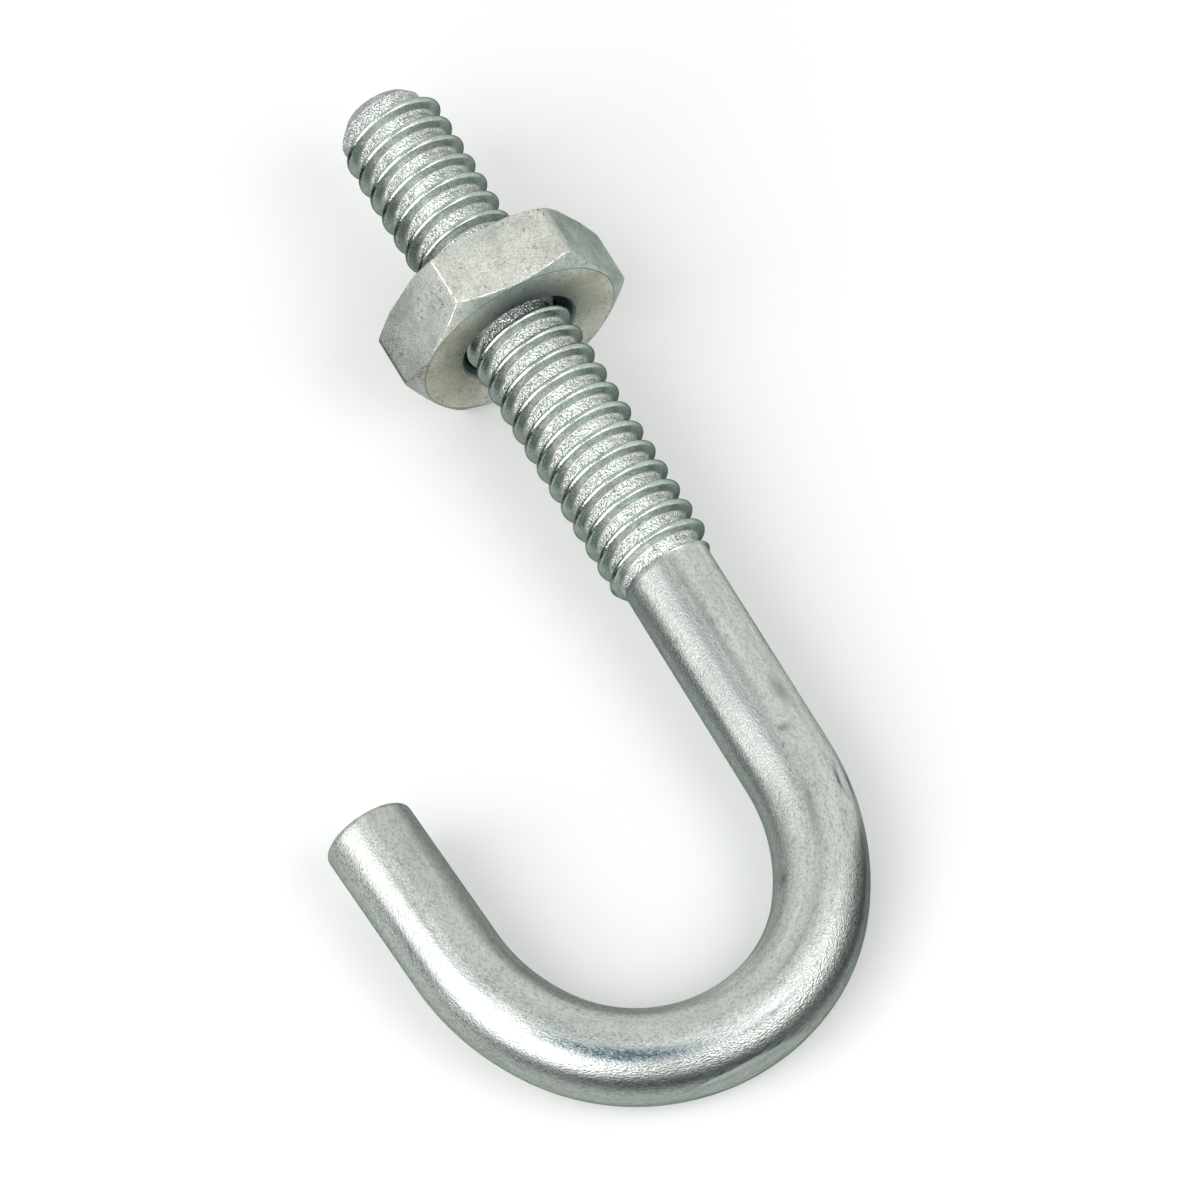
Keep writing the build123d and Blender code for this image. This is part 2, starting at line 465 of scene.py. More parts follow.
def mesh_object(name, points, faces, material, layers):
    """A smooth-shaded object; points that coincide are welded and empty faces dropped."""
    mesh = bpy.data.meshes.new(name)
    mesh.from_pydata([tuple(point) for point in points], [], faces)
    for layer, values in layers.items():
        values = np.asarray(values, dtype=np.float32)
        whole = values.ndim == 2
        made = mesh.attributes.new(layer, "FLOAT_VECTOR" if whole else "FLOAT", "POINT")
        made.data.foreach_set("vector" if whole else "value", values.ravel())
    shape = bmesh.new()
    shape.from_mesh(mesh)
    bmesh.ops.remove_doubles(shape, verts=shape.verts, dist=1e-4 * MM)
    bmesh.ops.dissolve_degenerate(shape, edges=shape.edges, dist=1e-5 * MM)
    bmesh.ops.recalc_face_normals(shape, faces=shape.faces)
    shape.to_mesh(mesh)
    shape.free()
    mesh.shade_smooth()
    mesh.materials.append(material)
    made = bpy.data.objects.new(name, mesh)
    bpy.context.collection.objects.link(made)
    return made


def ring_faces(first, second, count):
    """Quads between two closed rings of vertices that start at these numbers."""
    return [
        (first + k, first + (k + 1) % count, second + (k + 1) % count, second + k)
        for k in range(count)
    ]


# ---------------------------------------------------------------- bolt

class RidgeShape:
    """Half of a thread ridge in section: rounded crest, straight flank, fillet and flat valley."""

    def __init__(self, crest_radius, flank, depth, fillet):
        self.crest_radius, self.depth, self.fillet = crest_radius, depth, fillet
        self.slope = math.tan(flank)
        side, rest = math.cos(flank), 1.0 - math.sin(flank)
        self.crest_end = crest_radius * side
        self.crest_drop = crest_radius * rest
        self.flank_end = self.crest_end + (depth - (crest_radius + fillet) * rest) * self.slope
        self.foot = self.flank_end + fillet * side

    def drop(self, away):
        """Depth under the crest at a distance from its middle."""
        crest = self.crest_radius - np.sqrt(self.crest_radius**2 - np.minimum(away, self.crest_end) ** 2)
        flank = self.crest_drop + (away - self.crest_end) / self.slope
        left = np.clip(self.foot - away, 0.0, self.foot - self.flank_end)
        fillet = self.depth - self.fillet + np.sqrt(self.fillet**2 - left**2)
        return np.where(away < self.crest_end, crest, np.where(away < self.flank_end, flank, fillet))

    def stations(self, half_pitch):
        """Distances from the crest's middle at which the section is sampled, up to half a pitch."""
        crest = self.crest_end * np.sin(np.linspace(0.0, math.pi / 2, 6))
        flank = np.linspace(self.crest_end, self.flank_end, 4)[1:]
        foot = self.foot - (self.foot - self.flank_end) * np.cos(np.linspace(0.0, math.pi / 2, 5))[1:]
        valley = np.linspace(self.foot, half_pitch, 4)[1:]
        return np.concatenate([crest, flank, foot, valley])


def bolt_ridge(thread):
    """The bolt's rolled ridge."""
    return RidgeShape(thread.crest_radius, thread.flank, thread.depth, thread.fillet)


def pitch_stations(thread):
    """Places over one whole pitch, from one crest to just before the next."""
    half = bolt_ridge(thread).stations(thread.pitch / 2)
    return np.concatenate([half, thread.pitch - half[-2:0:-1]])


def from_crest(offset, thread):
    """Distance from the nearest crest line."""
    half = thread.pitch / 2
    return np.abs((offset + half) % thread.pitch - half)


def crest_offset(along, around, thread):
    """Distance along the shank from the nearest crest line, which winds to the right."""
    top = thread.end - thread.first_crest
    quarter = thread.pitch / 4
    return along - (top - quarter + thread.pitch * around / (2 * math.pi))


def ripple(along, around, waves):
    """A slow, repeatable unevenness between -1 and 1."""
    total = 0.0
    for turns, rate, phase in waves:
        total = total + np.sin(turns * around + rate * along / MM + phase)
    return total / len(waves)


ROLLING_WAVES = ((2, 1.7, 0.3), (3, 4.1, 1.9), (5, 9.3, 4.0), (1, 0.6, 2.2))
DRAWING_WAVES = ((2, 0.21, 0.8), (3, 0.34, 2.6), (4, 0.17, 5.1))
# Lengthwise lines left by the drawing die: degrees round the wire, depth and half width in degrees
DRAWING_LINES = ((77.0, 0.014, 6.0), (101.0, 0.006, 5.0), (48.0, 0.006, 5.0), (200.0, 0.010, 6.0))
# Flats left by the bending tool: distance from the thread, degrees round, half length and depth
TOOL_FLATS = ((23.9, 175.0, 2.4, 0.17), (12.0, 143.0, 0.8, 0.04))
# Dark marks on the wire, mostly painted shade: dark reflection bands on the bends, a dull patch over the shank's
# highlight, dark streaks down the crease and dark sides; distance from the thread, degrees round, half length,
# half width in degrees, strength
DARK_MARKS_AND_SHADE = (
    (7.65, 120.0, 0.7, 9.0, 0.5), (9.35, 97.0, 0.10, 9.0, 0.5), (16.2, 38.0, 0.35, 7.0, 0.45),
    (28.3, 112.0, 3.4, 8.5, 0.95), (22.6, 116.0, 1.8, 4.0, 0.5), (13.2, 84.0, 1.6, 5.0, 0.35),
    (4.5, 88.0, 4.5, 3.5, 0.36), (9.0, 80.0, 3.0, 3.0, 0.32), (5.0, 64.0, 8.5, 17.0, 0.30),
    (27.5, 147.0, 6.0, 7.5, 0.62), (17.0, 150.0, 5.0, 5.0, 0.45), (36.5, 141.0, 4.5, 5.0, 0.42),
    (37.0, 108.0, 5.0, 3.0, 0.28), (20.0, 86.0, 3.0, 3.5, 0.22), (6.5, 30.0, 6.0, 7.0, 0.35),
)
# Where bending has opened up the crystals again: distance from the thread, degrees round, spreads, share
OPENED = (25.0, 124.0, 9.0, 17.0, 0.17)


def threaded_radius(along, around, wire, thread):
    """Radius of the threaded end: ridge over core, run out at the shank, tapered at the end."""
    crest = thread.diameter / 2
    shank = wire.diameter / 2
    uneven = thread.wobble * ripple(along, around, ROLLING_WAVES)
    ridge = crest - bolt_ridge(thread).drop(from_crest(crest_offset(along, around, thread), thread))
    ridge = ridge + uneven - thread.wobble
    past_shank = along - thread.start
    growth = shank + (crest - shank) * past_shank / thread.run_out
    to_end = np.clip((thread.end - along) / thread.end_taper, 0.0, 1.0)
    burr_turn, burr_span, burr_width = math.radians(76.0), 0.1, 0.1 * MM
    near_burr = ((around - burr_turn) / burr_span) ** 2 + ((past_shank - 0.3 * MM) / burr_width) ** 2
    taper = thread.end_face / 2 + (crest - thread.end_face / 2) * to_end**0.85
    bevel = shank - (crest - shank) * past_shank / thread.shoulder * 1.5
    limited = np.minimum(np.minimum(ridge, growth), np.where(to_end < 1.0, taper, crest))
    return np.maximum(limited, bevel) + thread.burr * np.exp(-near_burr)


def wire_radius(travelled, around, wire):
    """Radius of the bent wire, with its drawing lines and tool marks."""
    radius = wire.diameter / 2 - 0.004 * MM + 0.004 * MM * ripple(travelled, around, DRAWING_WAVES)
    for turn, depth, width in DRAWING_LINES:
        away = (np.degrees(around) - turn) / width
        radius = radius - depth * MM * np.exp(-away * away)
    for middle, facing, half_length, depth in TOOL_FLATS:
        share = (travelled / MM - middle) / half_length
        if abs(share) < 1.0:
            sunk = wire.diameter / 2 - depth * MM * (1.0 - share * share)
            turned = np.cos(around - math.radians(facing))
            radius = np.where(turned > 0.3, np.minimum(radius, sunk / np.maximum(turned, 0.3)), radius)
    return radius


def dark_marks_and_shade(unbent, wire, thread):
    """How strongly each point of the wire is darkened, mostly as painted shade, with a painted dark line round
    each tool mark.
    """
    travelled = (unbent[:, 2] + thread.start) / MM
    turn = np.degrees(np.arctan2(unbent[:, 1], unbent[:, 0])) % 360.0
    marks = np.zeros(len(unbent))
    for middle, facing, half_length, half_width, strength in DARK_MARKS_AND_SHADE:
        away = ((travelled - middle) / half_length) ** 2 + ((turn - facing) / half_width) ** 2
        marks = np.maximum(marks, strength * np.exp(-away))
    # Painted shade: a dark line round the edge of each tool flat
    for middle, facing, half_length, depth in TOOL_FLATS:
        share = np.clip(1.0 - ((travelled - middle) / half_length) ** 2, 0.0, 1.0)
        half_width = np.degrees(np.arccos(1.0 - depth * MM / (wire.diameter / 2) * share))
        line = np.exp(-(((np.abs(turn - facing) - half_width) / 2.2) ** 2))
        marks = np.maximum(marks, 0.9 * line * np.sqrt(share))
    return np.where(travelled > 0.0, marks, 0.0)


def wire_course(wire, thread):
    """Centre, in-plane side vector and distance of each ring from the thread to the tip."""
    here = np.array([thread.start, 0.0])
    heading = math.pi
    rings = []
    travelled = 0.0
    for radius, turn, straight in (
        (0.0, 0.0, thread.start),
        (wire.heel_radius, wire.heel_angle, 0.0),
        (wire.nose_radius, wire.nose_angle, 0.0),
        (wire.toe_radius, wire.toe_angle, 0.0),
        (0.0, 0.0, wire.tip_length),
    ):
        run = straight or radius * turn
        steps = max(1, round(run / wire.ring_step))
        start, first_heading = here.copy(), heading
        for step in range(1, steps + 1):
            share = step / steps
            if straight:
                here = start + straight * share * np.array([math.cos(heading), math.sin(heading)])
            else:
                heading = first_heading - turn * share
                centre = start + radius * np.array([math.sin(first_heading), -math.cos(first_heading)])
                here = centre + radius * np.array([-math.sin(heading), math.cos(heading)])
            rings.append((here.copy(), heading, travelled + run * share))
        travelled += run
    return rings


def build_bolt(wire, thread, material):
    """One closed mesh: spiral rows over the thread, rings down the wire, both ends closed."""
    around = np.arange(COLUMNS) * 2 * math.pi / COLUMNS
    base = THREADED_END - thread.end * UP_SHANK
    points = []
    unbent = []
    faces = []

    def put(plane_point, side, radius, travelled):
        """Adds one ring and returns the number of its first vertex."""
        first = len(points)
        centre = base + plane_point[0] * UP_SHANK + plane_point[1] * ACROSS
        spread = np.broadcast_to(radius, around.shape)
        for turn, reach in zip(around, spread):
            points.append(centre + reach * (math.cos(turn) * side + math.sin(turn) * ABOVE))
            unbent.append((reach * math.cos(turn), reach * math.sin(turn), travelled))
        return first

    # Thread: each row follows the helix, so a row's last column joins a row one pitch further on
    stations = pitch_stations(thread)
    per_pitch = len(stations)
    turns = int((thread.end - thread.start) / thread.pitch) + 3
    top = thread.end - thread.first_crest
    face_at = thread.end - thread.inset
    lowest = top - thread.pitch / 4 - (int((top - thread.start) / thread.pitch) + 2) * thread.pitch
    rows = []
    for turn in range(turns + 1):
        for station in stations:
            along = lowest + turn * thread.pitch + station + thread.pitch * around / (2 * math.pi)
            along = np.clip(along, thread.start, face_at - thread.end_rim)
            reach = threaded_radius(along, around, wire, thread)
            rows.append(len(points))
            for place, angle_here, radius in zip(along, around, reach):
                centre = base + place * UP_SHANK
                out = math.cos(angle_here) * ACROSS + math.sin(angle_here) * ABOVE
                points.append(centre + radius * out)
                unbent.append((radius * math.cos(angle_here), radius * math.sin(angle_here), -place))
    last = COLUMNS - 1
    for row in range(len(rows) - per_pitch - 1):
        here, above = rows[row], rows[row + 1]
        for k in range(last):
            faces.append((here + k, here + k + 1, above + k + 1, above + k))
        faces.append((here + last, rows[row + per_pitch], rows[row + per_pitch + 1], above + last))

    # End face, with a rounded rim and a shallow dish
    rim_at = face_at - thread.end_rim
    rim_radius = threaded_radius(np.full(COLUMNS, rim_at), around, wire, thread)
    previous = put((rim_at, 0.0), ACROSS, rim_radius, -rim_at)
    for turn in np.linspace(0.0, math.pi / 2, 5)[1:]:
        along = rim_at + thread.end_rim * math.sin(turn)
        ring = put((along, 0.0), ACROSS, rim_radius - thread.end_rim * (1.0 - math.cos(turn)), -along)
        faces += ring_faces(previous, ring, COLUMNS)
        previous = ring
    for share in (0.9, 0.7, 0.45, 0.2):
        along = face_at - 0.04 * MM * (1.0 - share * share)
        ring = put((along, 0.0), ACROSS, (rim_radius - thread.end_rim) * share, -along)
        faces += ring_faces(previous, ring, COLUMNS)
        previous = ring
    faces.append(tuple(range(previous, previous + COLUMNS)))

    # Wire
    first_radius = threaded_radius(np.full(COLUMNS, thread.start), around, wire, thread)
    previous = put((thread.start, 0.0), ACROSS, first_radius, -thread.start)
    rings = wire_course(wire, thread)
    tip_point, heading, total = rings[-1]
    for plane_point, heading, travelled in rings:
        if travelled > total - wire.tip_rounding:
            break
        side = math.sin(heading) * UP_SHANK - math.cos(heading) * ACROSS
        ring = put(plane_point, side, wire_radius(travelled, around, wire), travelled - thread.start)
        faces += ring_faces(previous, ring, COLUMNS)
        previous = ring
    forward = np.array([math.cos(heading), math.sin(heading)])
    tip_radius = wire_radius(total, around, wire)
    for turn in np.linspace(0.0, math.pi / 2, 7):
        back = wire.tip_rounding * (1.0 - math.sin(turn))
        reach = tip_radius - wire.tip_rounding * (1.0 - math.cos(turn))
        ring = put(tip_point - back * forward, side, reach, total - back - thread.start)
        faces += ring_faces(previous, ring, COLUMNS)
        previous = ring
    for share in (0.6, 0.25):
        ring = put(tip_point, side, (tip_radius - wire.tip_rounding) * share, total - thread.start)
        faces += ring_faces(previous, ring, COLUMNS)
        previous = ring
    faces.append(tuple(range(previous, previous + COLUMNS)))

    unbent = np.array(unbent)
    layers = {
        "unbent": unbent,
        "rubbed": rubbed_smooth(unbent, thread),
        # painted shade down the sides of the ridges and wire
        "shade_and_tint": dark_film(unbent, thread),
        # painted shade patches and lines on the wire
        "dark_marks_and_shade": dark_marks_and_shade(unbent, wire, thread),
    }
    return mesh_object("zinc_bolt", points, faces, material, layers)


def dark_film(straight, thread):
    """Painted shade on ridges and wire: darker everywhere but round the lit top."""
    turn = np.degrees(np.arctan2(straight[:, 1], straight[:, 0]))
    from_top = np.abs((turn - LIT_TOP + 180.0) % 360.0 - 180.0)
    ridges = np.clip((from_top - 35.0) / 30.0, 0.0, 1.0)
    ridges = ridges * np.clip(rubbed_smooth(straight, thread) * 2.0 - 1.0, 0.0, 1.0)
    wire = 0.65 * np.clip((np.abs((turn - WIRE_LIT_TOP + 180.0) % 360.0 - 180.0) - 56.0) / 20.0, 0.0, 1.0)
    return np.where(-straight[:, 2] > thread.start, ridges, wire)


# Middle of the lit top, in degrees round, for the ridges and for the wire; away from it the sides get painted
# shade
LIT_TOP = 77.0
WIRE_LIT_TOP = 93.0


def rubbed_smooth(straight, thread):
    """How far handling has smoothed the plating: 1 on thread crests, 0 in the valleys and on the end."""
    radius = np.hypot(straight[:, 0], straight[:, 1])
    along = -straight[:, 2]
    valley = thread.diameter / 2 - thread.depth
    ridge = np.clip((radius - valley - 0.05 * MM) / (0.10 * MM), 0.0, 1.0)
    end = np.clip((along - thread.end + thread.end_taper) / (0.3 * MM), 0.0, 1.0)
    middle, facing, half_length, half_width, share = OPENED
    turn = np.degrees(np.arctan2(straight[:, 1], straight[:, 0])) % 360.0
    away = (((thread.start - along) / MM - middle) / half_length) ** 2 + ((turn - facing) / half_width) ** 2
    return np.where(along > thread.start, ridge * (1.0 - end), 0.5 - share * np.exp(-away))


# ---------------------------------------------------------------- nut

SIDES = 6
SECTOR = 2 * math.pi / SIDES


def corner_spans(half_flat, radii):
    """How far each rounded corner reaches to either side of its middle, as angles."""
    half_sector = SECTOR / 2
    hubs = [(half_flat - radius) / math.cos(half_sector) for radius in radii]
    return [
        math.atan2(radius * math.sin(half_sector), hub + radius * math.cos(half_sector))
        for hub, radius in zip(hubs, radii)
    ]


def hexagon_columns(spans, per_flat=24, per_corner=10):
    """Angles round the nut, close together over each rounded corner."""
    turns = []
    for corner in range(SIDES):
        middle = corner * SECTOR
        after = SECTOR - spans[(corner + 1) % SIDES]
        turns.extend(middle + np.linspace(-spans[corner], spans[corner], per_corner, endpoint=False))
        turns.extend(middle + np.linspace(spans[corner], after, per_flat, endpoint=False))
    return np.array(turns)


def hexagon_reach(around, half_flat, radii, spans):
    """Distance from the axis to the rounded hexagon's side, with a corner at angle 0."""
    corner = np.round(around / SECTOR).astype(int) % SIDES
    off_corner = (around + SECTOR / 2) % SECTOR - SECTOR / 2
    radius = np.array(radii)[corner]
    hub = (half_flat - radius) / math.cos(SECTOR / 2)
    inside = np.maximum(radius**2 - (hub * np.sin(off_corner)) ** 2, 0.0)
    rounded = hub * np.cos(off_corner) + np.sqrt(inside)
    flat = half_flat / np.cos(SECTOR / 2 - np.abs(off_corner))
    return np.where(np.abs(off_corner) < np.array(spans)[corner], rounded, flat)


def rounded_profile(corners, radii, steps=4):
    """A polyline in (radius, height) whose inner corners are rounded; every column takes as many points."""
    result = [corners[0]]
    for before, here, after, radius in zip(corners, corners[1:], corners[2:], radii):
        a, b, c = (np.array(point) for point in (before, here, after))
        back, on = a - b, c - b
        back_length, on_length = np.linalg.norm(back), np.linalg.norm(on)
        if min(back_length, on_length) < 1e-9:
            result += [tuple(b)] * (steps + 1)
            continue
        back, on = back / back_length, on / on_length
        half = math.acos(max(-1.0, min(1.0, float(back @ on)))) / 2
        if half > math.pi / 2 - 0.02:
            result += [tuple(b)] * (steps + 1)
            continue
        trim = min(radius / math.tan(half), 0.45 * back_length, 0.45 * on_length)
        small = trim * math.tan(half)
        hub = b + (back + on) / np.linalg.norm(back + on) * small / math.sin(half)
        start, finish = b + back * trim - hub, b + on * trim - hub
        sweep = math.acos(max(-1.0, min(1.0, float(start @ finish) / small**2)))
        for step in range(steps + 1):
            share = step / steps
            blend = (math.sin((1 - share) * sweep) * start + math.sin(share * sweep) * finish)
            result.append(tuple(hub + blend / math.sin(sweep)))
    result.append(corners[-1])
    return result


# Tint of the film and painted light and shade on each flat, from the one beside the tip on, and on the chamfers
# and faces: 0 is olive, 0.4 warm and lit, 0.75 blue and shaded, 1 the dark painted shade
FLAT_TINT_AND_SHADE = (0.64, 0.4, 0.84, 0.6, 0.4, 0.7)
CHAMFER_TINT_AND_SHADE = (0.35, 1.0, 0.9, 0.8, 0.9, 0.8)
FACE_TINT_AND_SHADE = (0.05, 0.8, 0.05, 0.15, 0.3, 0.1)
# FACE_SHADE is painted shade on the hook-side face, darkest at the hole, for each side; the far face's value also
# faintly darkens its hole's edge
FACE_SHADE = (0.15, 0.8, 0.35, 0.2, 0.2, 0.2)
FAR_FACE_TINT_AND_SHADE = 0.15
PROFILE_STEPS = 4


def nut_film(around, spans, side_values, blend):
    """The film's tint and painted light and shade round the sides, blended over the corners and a share of each
    side.
    """
    corner = np.floor(around / SECTOR).astype(int) % SIDES
    into = around / SECTOR - np.floor(around / SECTOR)
    edge = np.array(spans)[corner] / SECTOR + blend
    share = np.clip(0.5 + 0.5 * into / edge, 0.5, 1.0)
    left = np.array(side_values)[corner - 1]
    here = np.array(side_values)[corner]
    after_edge = np.array(spans)[(corner + 1) % SIDES] / SECTOR + blend
    after = np.array(side_values)[(corner + 1) % SIDES]
    late = np.clip(0.5 - 0.5 * (1.0 - into) / after_edge, 0.0, 0.5)
    return here * share + left * (1.0 - share) + (after - here) * late


def build_nut(nut, thread, material):
    """A ring of profiles round the shank: faces, chamfers, flats and a threaded hole."""
    half_flat = nut.across_flats / 2
    radii = list(nut.corner_radii)
    spans = corner_spans(half_flat, radii)
    around = hexagon_columns(spans)
    reach = hexagon_reach(around, half_flat, radii, spans)
    # Tint with painted light and shade for each side, and painted shade on the hook-side face
    kinds = ((FLAT_TINT_AND_SHADE, 0.03), (CHAMFER_TINT_AND_SHADE, 0.2), (FACE_TINT_AND_SHADE, 0.35), (FACE_SHADE, 0.4))
    side_tones = zip(*(nut_film(around, spans, *kind) for kind in kinds))
    slope = math.tan(nut.chamfer)
    start = thread.end - NUT_GAP
    base = THREADED_END - thread.end * UP_SHANK
    crest = thread.diameter / 2 + nut.thread_gap
    mouth = crest + nut.countersink
    groove = RidgeShape(0.16 * MM, math.radians(30), 0.66 * MM, 0.05 * MM)
    inner_rows = int(nut.thickness / thread.pitch * 16)
    heights = np.linspace(0.0, nut.thickness, inner_rows + 1)
    lip = 0.02 * MM
    arc = PROFILE_STEPS + 1
    plain = [0.0] * arc
    bow = [math.sin(math.pi * step / PROFILE_STEPS) for step in range(arc)]
    from_face = np.minimum(heights, nut.thickness - heights)[inner_rows - 1:0:-1]
    # Painted shadow in the inner half of each countersink
    in_gap = list(np.clip((from_face / nut.countersink - 0.35) / 0.2, 0.0, 1.0))
    # Painted shade rings on the rounded edges between the faces and the chamfers
    painted_shade = bow + plain + plain + bow
    # Chamfer-to-flat edges: polish from wear with painted highlight
    rim = np.array([0.0] + plain + bow + bow + plain + [0.0] * inner_rows)
    flat_rows = np.array([0.0] + plain + [1.0] * 2 * arc + plain + [0.0] * inner_rows)
    corner = np.round(around / SECTOR).astype(int) % SIDES
    off_corner = np.abs((around + SECTOR / 2) % SECTOR - SECTOR / 2)
    # Rounded corners take bright dots: painted highlight, with some wear
    corner_polish_and_highlight = np.clip(1.2 - off_corner / np.array(spans)[corner], 0.0, 0.5)
    points = []
    faces = []
    layers = {"shade_and_tint": [], "polish_and_highlight": [], "painted_shade": []}
    for turn, side, side_tone, column_polish_and_highlight in zip(around, reach, side_tones, corner_polish_and_highlight):
        flat_tint_and_shade, chamfer_tint_and_shade, face_tint_and_shade, face_shade = side_tone
        lower = min(nut.lower_face / 2, side)
        upper = min(nut.upper_face / 2, side)
        low_edge = (side - lower) * slope
        high_edge = nut.thickness - (side - upper) * slope
        corners = [
            (mouth, 0.0), (lower - lip, 0.0), (side, low_edge + lip),
            (side, high_edge - lip), (upper - lip, nut.thickness), (mouth, nut.thickness),
        ]
        outline = rounded_profile(corners, (nut.edge_radius,) * 4)
        offset = crest_offset(start + heights, turn, thread)
        bore = crest - groove.drop(from_crest(offset, thread))
        bore = np.maximum(bore, nut.hole / 2)
        cone = mouth - np.minimum(heights, nut.thickness - heights)
        bore = np.maximum(bore, cone)
        profile = outline + [(bore[k], heights[k]) for k in range(inner_rows - 1, 0, -1)]
        out = math.cos(turn) * ACROSS + math.sin(turn) * ABOVE
        points.extend(base + (start + height) * UP_SHANK + radius * out for radius, height in profile)
        chamfer = [chamfer_tint_and_shade] * (arc // 2)
        face = [face_tint_and_shade] * (1 + arc - arc // 2)
        far_face = [FAR_FACE_TINT_AND_SHADE] * (1 + arc - arc // 2)
        flat = [flat_tint_and_shade] * (2 * arc - 2 * (arc // 2))
        near = face + chamfer + chamfer + flat + chamfer + chamfer
        # Tint with painted light and shade for each side; the bore's rows take 1, the dark painted shade
        layers["shade_and_tint"] += near + far_face + [1.0] * (inner_rows - 1)
        layers["polish_and_highlight"] += list(np.maximum(rim, flat_rows * column_polish_and_highlight)[:len(profile)])
        # painted shade near the hole, round the face edges and in the countersinks
        layers["painted_shade"] += [face_shade] + painted_shade + [FAR_FACE_TINT_AND_SHADE] + in_gap
    count = len(profile)
    columns = len(around)
    for k in range(columns):
        here, beside = k * count, ((k + 1) % columns) * count
        for step in range(count):
            ahead = (step + 1) % count
            faces.append((here + step, beside + step, beside + ahead, here + ahead))
    return mesh_object("hexagon_nut", points, faces, material, layers)


# ---------------------------------------------------------------- operators

class JBOLT_OT_bolt(bpy.types.Operator):
    """Build the bent and threaded wire"""
    bl_idname = "jbolt.build_bolt"
    bl_label = "Bolt"

    def execute(self, context):
        scene = context.scene
        finish = scene.jbolt_finish
        material = bolt_zinc(finish, shared_groups())
        bolt = build_bolt(scene.jbolt_wire, scene.jbolt_thread, material)
        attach(bolt, "bolt")
        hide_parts("j_bolt")
        return {"FINISHED"}


class JBOLT_OT_nut(bpy.types.Operator):
    """Build the hexagon nut with its chamfers and inner thread"""
    bl_idname = "jbolt.build_nut"
    bl_label = "Nut"

    def execute(self, context):
        scene = context.scene
        finish = scene.jbolt_finish
        material = nut_zinc(finish, shared_groups())
        nut = build_nut(scene.jbolt_nut, scene.jbolt_thread, material)
        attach(nut, "nut")
        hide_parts("hex_nut")
        return {"FINISHED"}


class JBOLT_OT_stage(bpy.types.Operator):
    """Set the table, the soft panels, the room and the camera"""
    bl_idname = "jbolt.set_stage"
    bl_label = "Stage"

    def execute(self, context):
        studio = context.scene.jbolt_studio
        set_table(studio)
        set_panels(studio)
        set_room(studio)
        set_screen(studio)
        set_camera(studio)
        return {"FINISHED"}


class JBOLT_PT_panel(bpy.types.Panel):
    """Buttons for the bolt, the nut and the stage"""
    bl_idname = "JBOLT_PT_panel"
    bl_label = "J bolt"
    bl_space_type = "VIEW_3D"
    bl_region_type = "UI"
    bl_category = "J bolt"

    def draw(self, context):
        for operator, settings in STEPS:
            box = self.layout.box()
            box.operator(operator.bl_idname)
            for name in settings:
                group = getattr(context.scene, name)
                for field in group.__annotations__:
                    box.prop(group, field)


def plain_material(name, value, roughness=0.9):
    """A matt surface of the set."""
    material = bpy.data.materials.new(name)
    material.use_nodes = True
    shader = material.node_tree.nodes["Principled BSDF"]
    shader.inputs["Base Color"].default_value = rgba(value)
    shader.inputs["Roughness"].default_value = roughness
    shader.inputs["Specular IOR Level"].default_value = 0.0
    return material


def flat_card(name, centre, right, up, material):
    """A rectangle of the set, from its middle and two half-side vectors."""
    mesh = bpy.data.meshes.new(name)
    corners = [centre - right - up, centre + right - up, centre + right + up, centre - right + up]
    mesh.from_pydata([tuple(corner) for corner in corners], [], [(0, 1, 2, 3)])
    mesh.materials.append(material)
    card = bpy.data.objects.new(name, mesh)
    bpy.context.collection.objects.link(card)
    return card


def set_table(studio):
    """A wide pale table top."""
    reach = 1.2
    material = plain_material("pale_table", studio.floor)
    tree = material.node_tree
    shader = tree.nodes["Principled BSDF"]
    path = tree.nodes.new("ShaderNodeLightPath").outputs
    seen = math_node(tree, "MAXIMUM", path["Is Camera Ray"], path["Is Glossy Ray"])
    seen = math_node(tree, "MAXIMUM", seen, path["Is Transmission Ray"])
    glow = math_node(tree, "MULTIPLY", seen, studio.floor_glow)
    shader.inputs["Emission Color"].default_value = (1.0, 1.0, 1.0, 1.0)
    tree.links.new(glow, shader.inputs["Emission Strength"])
    flat_card(
        "table_top", Vector((0.0, 0.0, 0.0)), Vector((reach, 0.0, 0.0)), Vector((0.0, reach, 0.0)), material,
    )


def toward(azimuth, elevation):
    """Direction from the object to a place round it, with azimuth 0 behind a viewer who looks along +Y."""
    return Vector((
        math.sin(azimuth) * math.cos(elevation),
        -math.cos(azimuth) * math.cos(elevation),
        math.sin(elevation),
    ))


# Soft panels: degrees round from the camera, elevation, width and height
PANELS = (("left_panel", -47.0, 37.0, 56.0, 56.0), ("right_panel", 59.0, 49.0, 37.0, 33.0))


def set_panels(studio):
    """Two soft panels, one each side of the camera."""
    distance = 0.32
    for name, off_camera, elevation, width, height in PANELS:
        lamp = bpy.data.lights.new(name, "AREA")
        lamp.shape = "RECTANGLE"
        lamp.size = 2 * distance * math.tan(math.radians(width / 2))
        lamp.size_y = 2 * distance * math.tan(math.radians(height / 2))
        lamp.energy = studio.panel_light * math.pi * lamp.size * lamp.size_y
        direction = toward(studio.azimuth + math.radians(off_camera), math.radians(elevation))
        panel = bpy.data.objects.new(name, lamp)
        panel.location = studio_centre() + direction * distance
        panel.rotation_mode = "QUATERNION"
        panel.rotation_quaternion = direction.to_track_quat("Z", "Y")
        bpy.context.collection.objects.link(panel)


def studio_centre():
    """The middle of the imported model's box."""
    return (CAD_LOW + CAD_HIGH) / 2


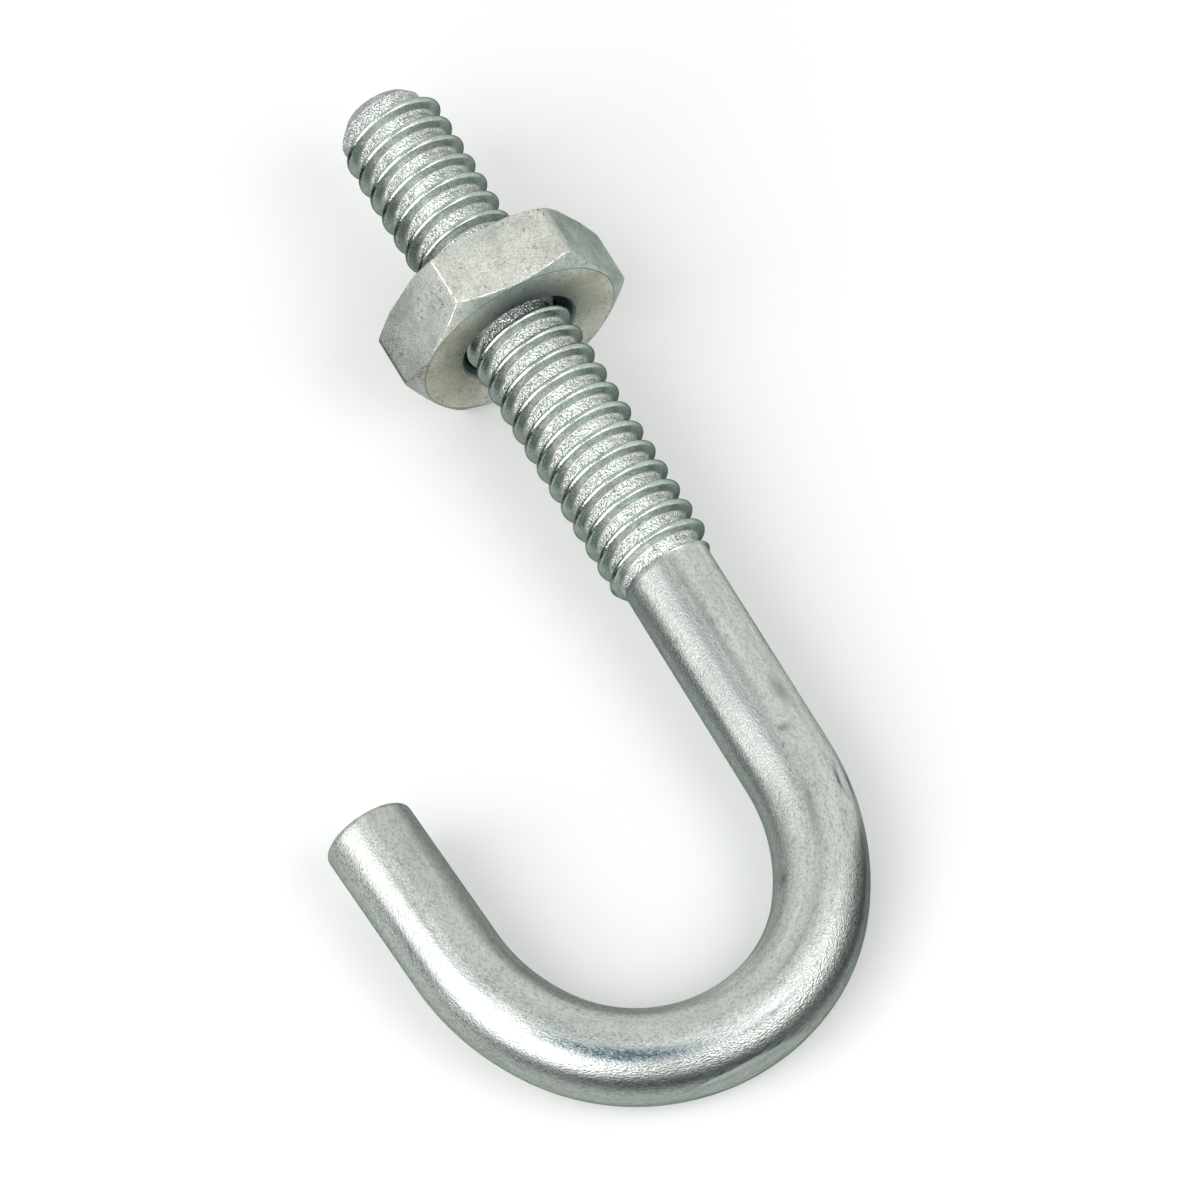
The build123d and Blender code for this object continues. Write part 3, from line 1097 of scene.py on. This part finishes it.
def set_room(studio):
    """A pale room with a dim ceiling over the camera."""
    world = bpy.data.worlds.new("studio_room")
    bpy.context.scene.world = world
    world.use_nodes = True
    tree = world.node_tree
    background = tree.nodes["Background"]
    seen = tree.nodes.new("ShaderNodeTexCoord").outputs["Generated"]
    dot = tree.nodes.new("ShaderNodeVectorMath")
    dot.operation = "DOT_PRODUCT"
    tree.links.new(seen, dot.inputs[0])
    dot.inputs[1].default_value = toward(studio.azimuth + math.radians(15.0), math.radians(78.0))
    mask = ramp(tree, dot.outputs["Value"], math.cos(math.radians(42)), math.cos(math.radians(12)))
    tree.links.new(mixed(tree, mask, rgba(studio.room), rgba(studio.ceiling)), background.inputs["Color"])
    background.inputs["Strength"].default_value = 1.0


def dark_card(name, feet, heads, material):
    """A standing strip that only reflections see, as black cards edge metal in a studio."""
    mesh = bpy.data.meshes.new(name)
    corners = [tuple(corner) for pair in zip(feet, heads) for corner in pair]
    faces = [(k, k + 2, k + 3, k + 1) for k in range(0, len(corners) - 2, 2)]
    mesh.from_pydata(corners, [], faces)
    mesh.materials.append(material)
    card = bpy.data.objects.new(name, mesh)
    card.visible_camera = False
    card.visible_diffuse = False
    card.visible_shadow = False
    bpy.context.collection.objects.link(card)


def set_screen(studio):
    """Two low dark cards: one round the camera's side of the set, one down the middle of the hook."""
    material = plain_material("dark_screen", studio.screen)
    turns = [studio.azimuth + math.radians(-145.0 + step * 225.0 / 48) for step in range(49)]
    lift = 0.2 * MM
    feet = [Vector((27.0 * math.sin(turn), 2.5 - 17.5 * math.cos(turn), 0.0)) * MM for turn in turns]
    heads = [Vector((33.0 * math.sin(turn), 2.5 - 23.5 * math.cos(turn), 6.5)) * MM for turn in turns]
    for foot in feet:
        foot.z = lift
    dark_card("outer_card", feet, heads, material)
    line = [Vector((along * MM, 0.4 * MM, lift)) for along in (-13.0, 26.0)]
    dark_card("inner_card", line, [foot + Vector((0.0, 0.0, 5.0 * MM)) for foot in line], material)


def set_camera(studio):
    """The camera, from its angles, distance and aim point."""
    lens = bpy.data.cameras.new("studio_camera")
    lens.sensor_width = 36.0
    lens.lens = studio.lens
    lens.clip_start = 0.01
    lens.clip_end = 10.0
    camera = bpy.data.objects.new("studio_camera", lens)
    back = toward(studio.azimuth, studio.elevation)
    camera.location = Vector(studio.aim) + back * studio.distance
    camera.rotation_mode = "QUATERNION"
    roll = Quaternion((0.0, 0.0, 1.0), studio.roll)
    camera.rotation_quaternion = back.to_track_quat("Z", "Y") @ roll
    bpy.context.collection.objects.link(camera)
    bpy.context.scene.camera = camera


STEPS = (
    (JBOLT_OT_bolt, ("jbolt_wire", "jbolt_thread", "jbolt_finish")),
    (JBOLT_OT_nut, ("jbolt_nut",)),
    (JBOLT_OT_stage, ("jbolt_studio",)),
)
GROUPS = {
    "jbolt_wire": WireSizes,
    "jbolt_thread": ThreadSizes,
    "jbolt_nut": NutSizes,
    "jbolt_finish": ZincFinish,
    "jbolt_studio": StudioSettings,
}


def register():
    """Registers the settings, the operators and the panel."""
    for name, group in GROUPS.items():
        bpy.utils.register_class(group)
        setattr(bpy.types.Scene, name, PointerProperty(type=group))
    for operator, _ in STEPS:
        bpy.utils.register_class(operator)
    bpy.utils.register_class(JBOLT_PT_panel)


def unregister():
    """Takes away what register added."""
    bpy.utils.unregister_class(JBOLT_PT_panel)
    for operator, _ in reversed(STEPS):
        bpy.utils.unregister_class(operator)
    for name, group in reversed(GROUPS.items()):
        delattr(bpy.types.Scene, name)
        bpy.utils.unregister_class(group)


def main():
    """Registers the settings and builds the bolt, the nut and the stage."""
    register()
    bpy.context.scene.view_settings.view_transform = "Standard"
    bpy.ops.jbolt.build_bolt()
    bpy.ops.jbolt.build_nut()
    bpy.ops.jbolt.set_stage()


if __name__ == "__main__":
    main()
